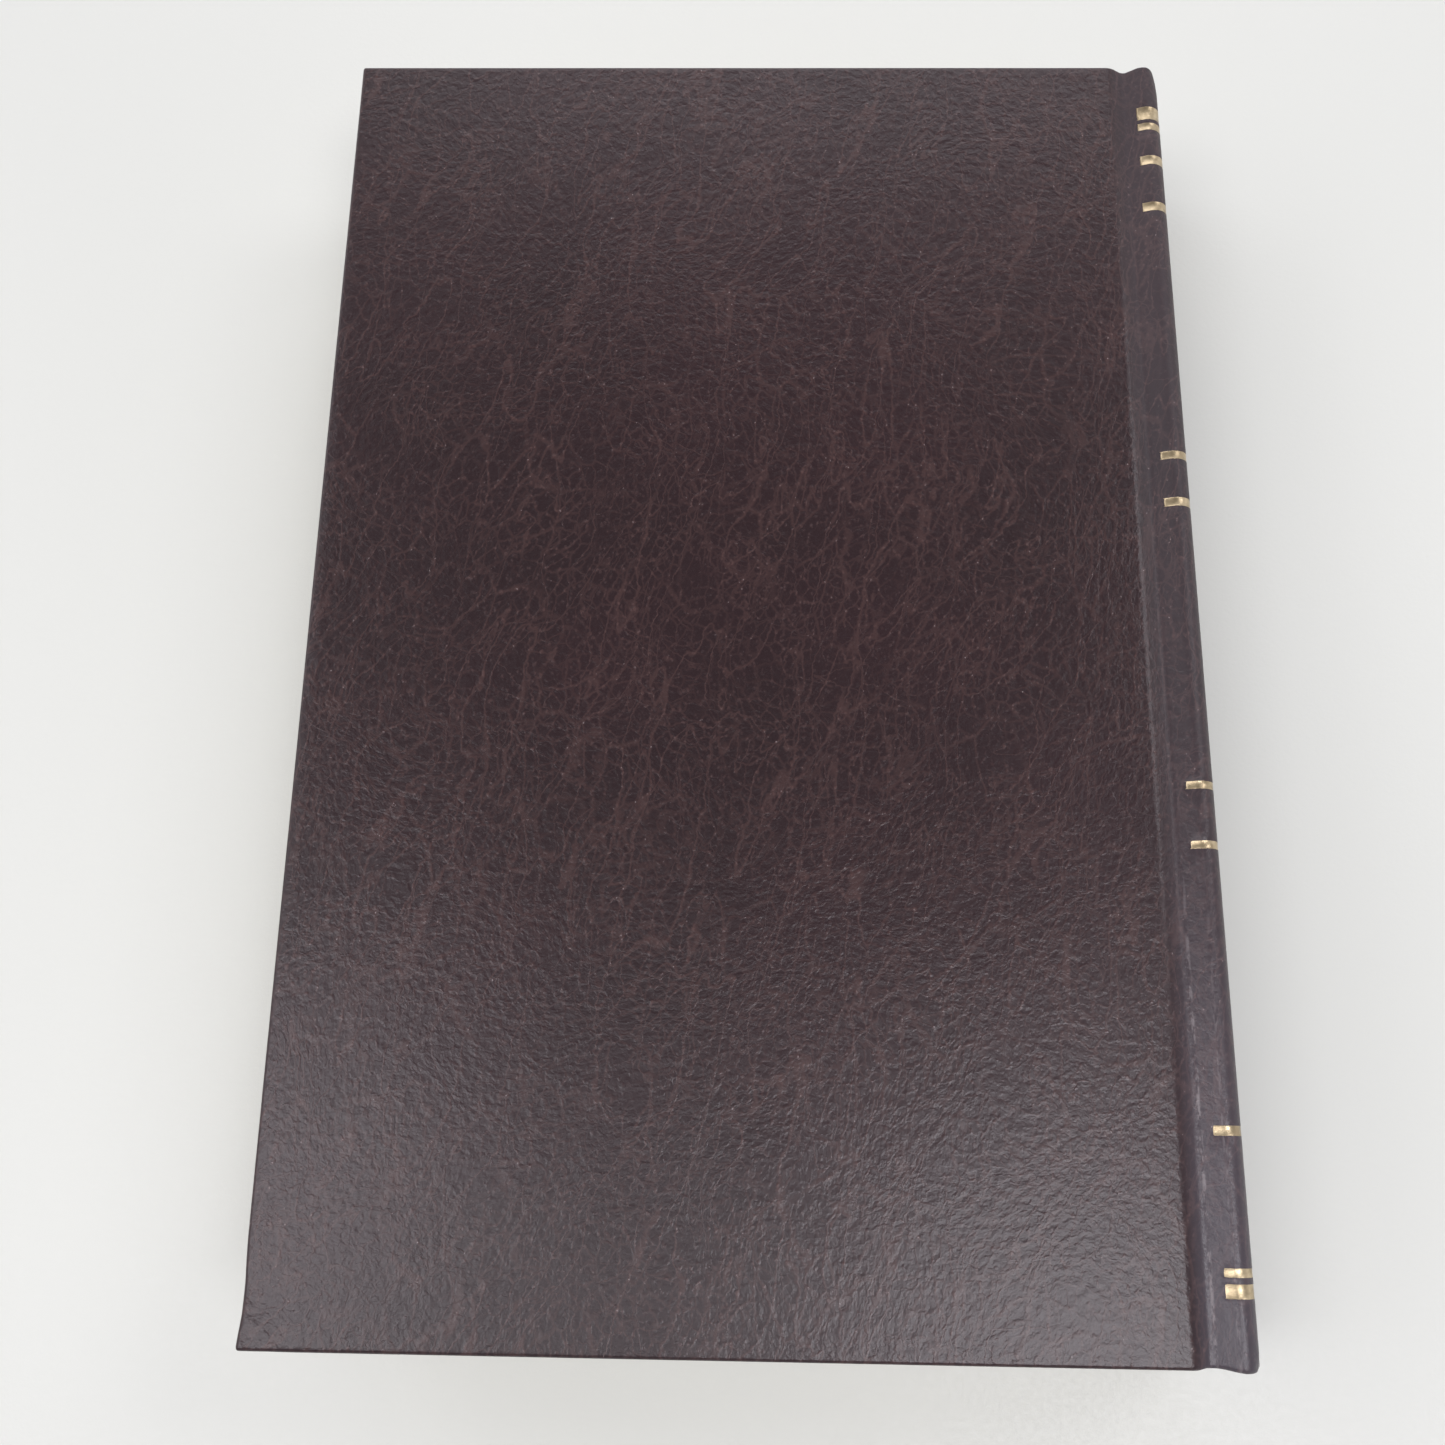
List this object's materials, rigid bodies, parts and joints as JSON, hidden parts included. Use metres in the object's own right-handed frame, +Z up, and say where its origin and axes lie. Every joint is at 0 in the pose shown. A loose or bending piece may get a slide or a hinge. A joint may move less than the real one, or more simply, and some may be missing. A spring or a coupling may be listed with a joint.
{
  "type": "prayer book",
  "caption": "Closed case-bound prayer book in dark grained leatherette with a rounded back, French joints and plain gold lines across the spine.",
  "frame": {"origin": "on the table under the middle of the closed book (middle of the bounding box's bottom face)", "axes": "+X from the fore edge to the spine, +Y from tail to head, +Z up out of the back cover; the book lies on its front cover"},
  "size_m": [0.1598, 0.235, 0.04],
  "materials": {
    "leatherette": "dark maroon-brown grained leatherette, satin",
    "greyboard": "grey binder's board",
    "endpaper": "matte cream endpaper",
    "page_paper": "matte off-white book paper",
    "sewn_folds": "glued paper folds",
    "mull": "open-weave cotton mull",
    "lining_paper": "brown kraft paper",
    "card": "thin spine card",
    "endband_cloth": "woven striped endband",
    "gold_foil": "hot-stamped gold foil, bright"
  },
  "bodies": {
    "text_block": {"sewn_folds": "sewn_folds", "mull": "mull", "spine_lining": "lining_paper", "spine_inlay_card": "card", "spine_leather": "leatherette", "back_joint_leather": "leatherette", "front_joint_leather": "leatherette", "head_band": "endband_cloth", "tail_band": "endband_cloth", "gold_line_01": "gold_foil", "gold_line_02": "gold_foil", "gold_line_03": "gold_foil", "gold_line_04": "gold_foil", "gold_line_05": "gold_foil", "gold_line_06": "gold_foil", "gold_line_07": "gold_foil", "gold_line_08": "gold_foil", "gold_line_09": "gold_foil", "gold_line_10": "gold_foil", "gold_line_11": "gold_foil", "gathering_06": "page_paper", "gathering_07": "page_paper", "gathering_08": "page_paper", "gathering_09": "page_paper", "gathering_10": "page_paper", "gathering_11": "page_paper"},
    "back_cover": {"back_board": "greyboard", "back_cover_leather": "leatherette", "back_pastedown": "endpaper"},
    "back_flyleaf": {"back_flyleaf": "endpaper"},
    "gathering_16": {"gathering_16": "page_paper"},
    "gathering_15": {"gathering_15": "page_paper"},
    "gathering_14": {"gathering_14": "page_paper"},
    "gathering_13": {"gathering_13": "page_paper"},
    "gathering_12": {"gathering_12": "page_paper"},
    "front_cover": {"front_board": "greyboard", "front_cover_leather": "leatherette", "front_pastedown": "endpaper"},
    "front_flyleaf": {"front_flyleaf": "endpaper"},
    "gathering_01": {"gathering_01": "page_paper"},
    "gathering_02": {"gathering_02": "page_paper"},
    "gathering_03": {"gathering_03": "page_paper"},
    "gathering_04": {"gathering_04": "page_paper"},
    "gathering_05": {"gathering_05": "page_paper"}
  },
  "joints": [
    {"name": "back_cover_hinge", "type": "hinge", "parent": "text_block", "child": "back_cover", "pos_m": [0.0707, 0, 0.04025], "axis": [0, 1, 0], "range_deg": [0, 179], "deforming": ["back_joint_leather"]},
    {"name": "back_flyleaf_turn", "type": "hinge", "parent": "text_block", "child": "back_flyleaf", "pos_m": [0.0707, 0, 0.04025], "axis": [0, 1, 0], "range_deg": [0, 166.47]},
    {"name": "gathering_16_turn", "type": "hinge", "parent": "text_block", "child": "gathering_16", "pos_m": [0.0707, 0, 0.04025], "axis": [0, 1, 0], "range_deg": [0, 125.3]},
    {"name": "gathering_15_turn", "type": "hinge", "parent": "text_block", "child": "gathering_15", "pos_m": [0.0707, 0, 0.04025], "axis": [0, 1, 0], "range_deg": [0, 96.66]},
    {"name": "gathering_14_turn", "type": "hinge", "parent": "text_block", "child": "gathering_14", "pos_m": [0.0707, 0, 0.04025], "axis": [0, 1, 0], "range_deg": [0, 71.6]},
    {"name": "gathering_13_turn", "type": "hinge", "parent": "text_block", "child": "gathering_13", "pos_m": [0.0707, 0, 0.04025], "axis": [0, 1, 0], "range_deg": [0, 48.33]},
    {"name": "gathering_12_turn", "type": "hinge", "parent": "text_block", "child": "gathering_12", "pos_m": [0.0707, 0, 0.04025], "axis": [0, 1, 0], "range_deg": [0, 25.06]},
    {"name": "front_cover_hinge", "type": "hinge", "parent": "text_block", "child": "front_cover", "pos_m": [0.0707, 0, -0.00025], "axis": [0, -1, 0], "range_deg": [0, 179], "deforming": ["front_joint_leather"]},
    {"name": "front_flyleaf_turn", "type": "hinge", "parent": "text_block", "child": "front_flyleaf", "pos_m": [0.0707, 0, -0.00025], "axis": [0, -1, 0], "range_deg": [0, 166.47]},
    {"name": "gathering_01_turn", "type": "hinge", "parent": "text_block", "child": "gathering_01", "pos_m": [0.0707, 0, -0.00025], "axis": [0, -1, 0], "range_deg": [0, 125.3]},
    {"name": "gathering_02_turn", "type": "hinge", "parent": "text_block", "child": "gathering_02", "pos_m": [0.0707, 0, -0.00025], "axis": [0, -1, 0], "range_deg": [0, 96.66]},
    {"name": "gathering_03_turn", "type": "hinge", "parent": "text_block", "child": "gathering_03", "pos_m": [0.0707, 0, -0.00025], "axis": [0, -1, 0], "range_deg": [0, 71.6]},
    {"name": "gathering_04_turn", "type": "hinge", "parent": "text_block", "child": "gathering_04", "pos_m": [0.0707, 0, -0.00025], "axis": [0, -1, 0], "range_deg": [0, 48.33]},
    {"name": "gathering_05_turn", "type": "hinge", "parent": "text_block", "child": "gathering_05", "pos_m": [0.0707, 0, -0.00025], "axis": [0, -1, 0], "range_deg": [0, 25.06]}
  ],
  "couplings": [
    {"joint": "back_flyleaf_turn", "follows": "back_cover_hinge", "ratio": 0.93},
    {"joint": "gathering_16_turn", "follows": "back_cover_hinge", "ratio": 0.7},
    {"joint": "gathering_15_turn", "follows": "back_cover_hinge", "ratio": 0.54},
    {"joint": "gathering_14_turn", "follows": "back_cover_hinge", "ratio": 0.4},
    {"joint": "gathering_13_turn", "follows": "back_cover_hinge", "ratio": 0.27},
    {"joint": "gathering_12_turn", "follows": "back_cover_hinge", "ratio": 0.14},
    {"joint": "front_flyleaf_turn", "follows": "front_cover_hinge", "ratio": 0.93},
    {"joint": "gathering_01_turn", "follows": "front_cover_hinge", "ratio": 0.7},
    {"joint": "gathering_02_turn", "follows": "front_cover_hinge", "ratio": 0.54},
    {"joint": "gathering_03_turn", "follows": "front_cover_hinge", "ratio": 0.4},
    {"joint": "gathering_04_turn", "follows": "front_cover_hinge", "ratio": 0.27},
    {"joint": "gathering_05_turn", "follows": "front_cover_hinge", "ratio": 0.14}
  ]
}
